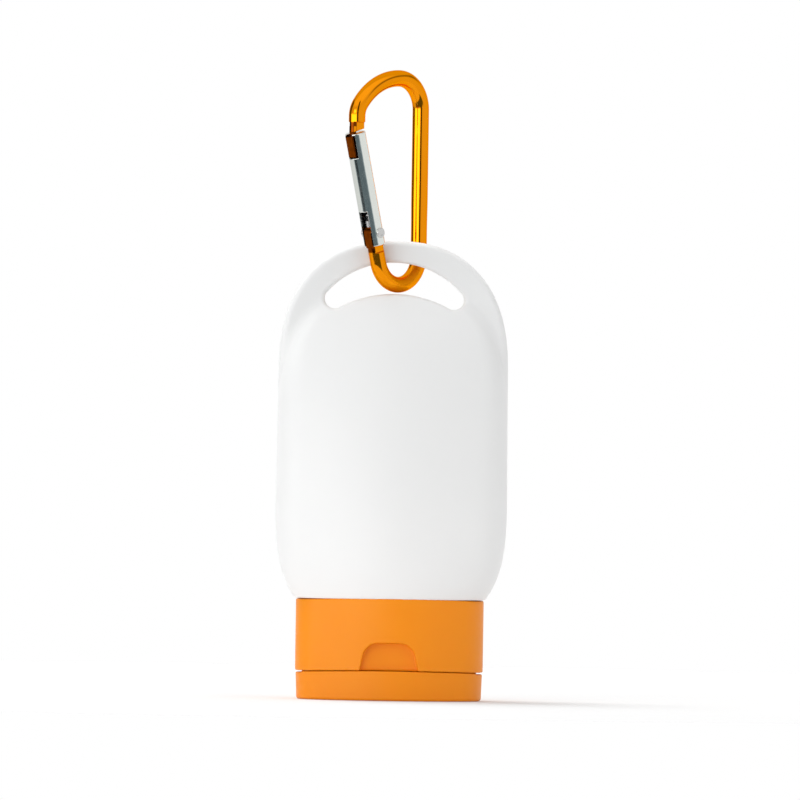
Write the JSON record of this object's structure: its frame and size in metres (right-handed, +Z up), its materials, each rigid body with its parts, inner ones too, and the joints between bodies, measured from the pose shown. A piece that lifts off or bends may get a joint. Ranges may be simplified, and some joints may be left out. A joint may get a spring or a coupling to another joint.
{
  "type": "sunscreen bottle",
  "caption": "Flat squeeze bottle standing on an oval flip-top closure, with a thumb recess, a carry slot through its top and a spring-gate clip hooked round the bridge.",
  "frame": {"origin": "centre of the lid's flat end face, which the bottle stands on", "axes": "+Z up the bottle to the clip, -Y out of the front (thumb recess), +X across the width"},
  "size_m": [0.0518, 0.028, 0.1412],
  "materials": {
    "bottle_white": "satin white polyethylene, slightly translucent",
    "closure_orange": "satin moulded polypropylene",
    "clip_orange": "polished, orange anodised",
    "gate_silver": "polished, clear anodised",
    "steel": "plain"
  },
  "bodies": {
    "container": {"bottle": "bottle_white", "closure_base": "closure_orange", "living_hinge": "closure_orange"},
    "lid": {"closure_lid": "closure_orange"},
    "clip": {"carabiner_frame": "clip_orange"},
    "gate_arm": {"gate": "gate_silver", "gate_rivet": "steel", "gate_spring": "steel"},
    "plunger": {"gate_plunger": "steel"}
  },
  "joints": [
    {"name": "lid_flip", "type": "hinge", "parent": "container", "child": "lid", "pos_m": [0, 0.01245, 0.0064], "axis": [1, 0, 0], "range_deg": [0, 175]},
    {"name": "clip_swing", "type": "hinge", "parent": "container", "child": "clip", "pos_m": [0, 0, 0.10005], "axis": [1, 0, 0], "range_deg": [-121, 108]},
    {"name": "gate_pivot", "type": "hinge", "parent": "clip", "child": "gate_arm", "pos_m": [-0.00503, -0.00565, 0.1046], "axis": [-0.7193, 0.6947, 0], "range_deg": [0, 30], "stiffness_Nm_per_rad": 0.006, "springref_deg": -22.92},
    {"name": "plunger_slide", "type": "slide", "parent": "gate_arm", "child": "plunger", "axis": [-0.1856, -0.1922, 0.9636], "range_m": [0, 0.00032]}
  ],
  "couplings": [
    {"joint": "plunger_slide", "follows": "gate_pivot", "m_per_rad": 0.00061115}
  ]
}
